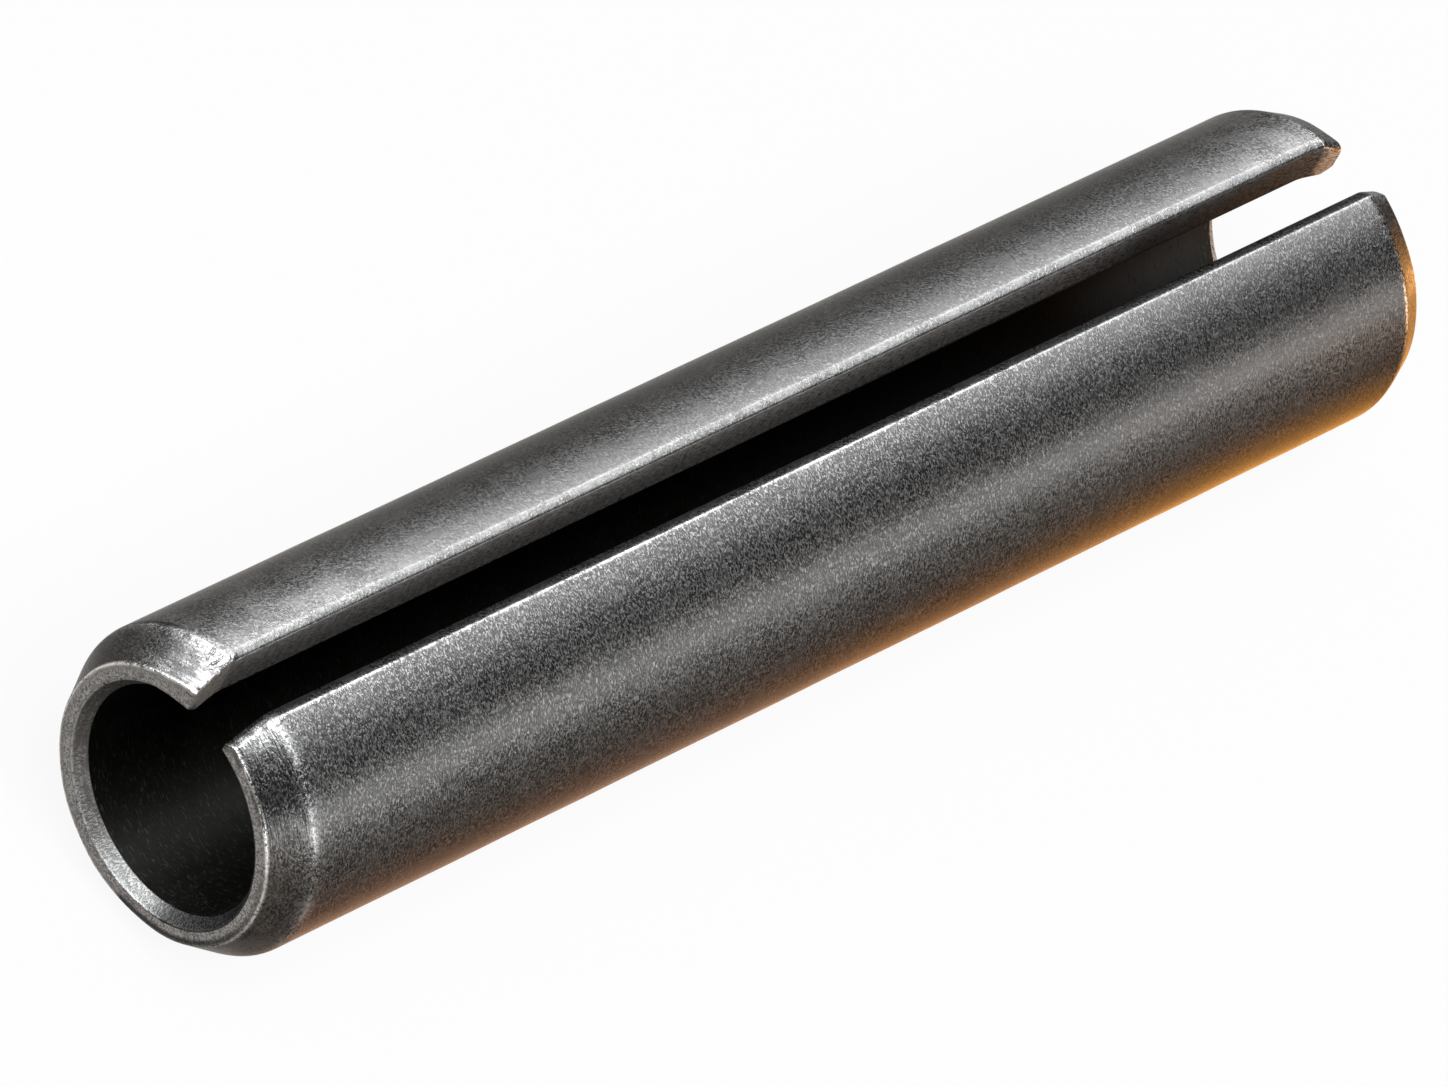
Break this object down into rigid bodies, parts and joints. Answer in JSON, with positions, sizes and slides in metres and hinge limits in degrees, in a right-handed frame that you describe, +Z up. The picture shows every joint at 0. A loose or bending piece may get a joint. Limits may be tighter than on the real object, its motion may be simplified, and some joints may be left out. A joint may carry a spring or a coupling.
{
  "type": "spring roll pin",
  "caption": "Hollow spring steel pin with a slot along its whole length, tapered ends and a countersunk bore, pressed into a drilled hole to hold or locate parts.",
  "frame": {"origin": "under the middle of the pin, on the surface that it lies on", "axes": "X along the pin, from the lead end at -X to the tail end at +X; Z up, through the middle of the slot"},
  "size_m": [0.05, 0.0106, 0.0105],
  "materials": {
    "spring_steel": "hardened spring steel, dark and lightly oiled, satin with a fine grain, brighter on worn edges"
  },
  "bodies": {
    "root": {"spring_pin": "spring_steel"}
  },
  "joints": []
}
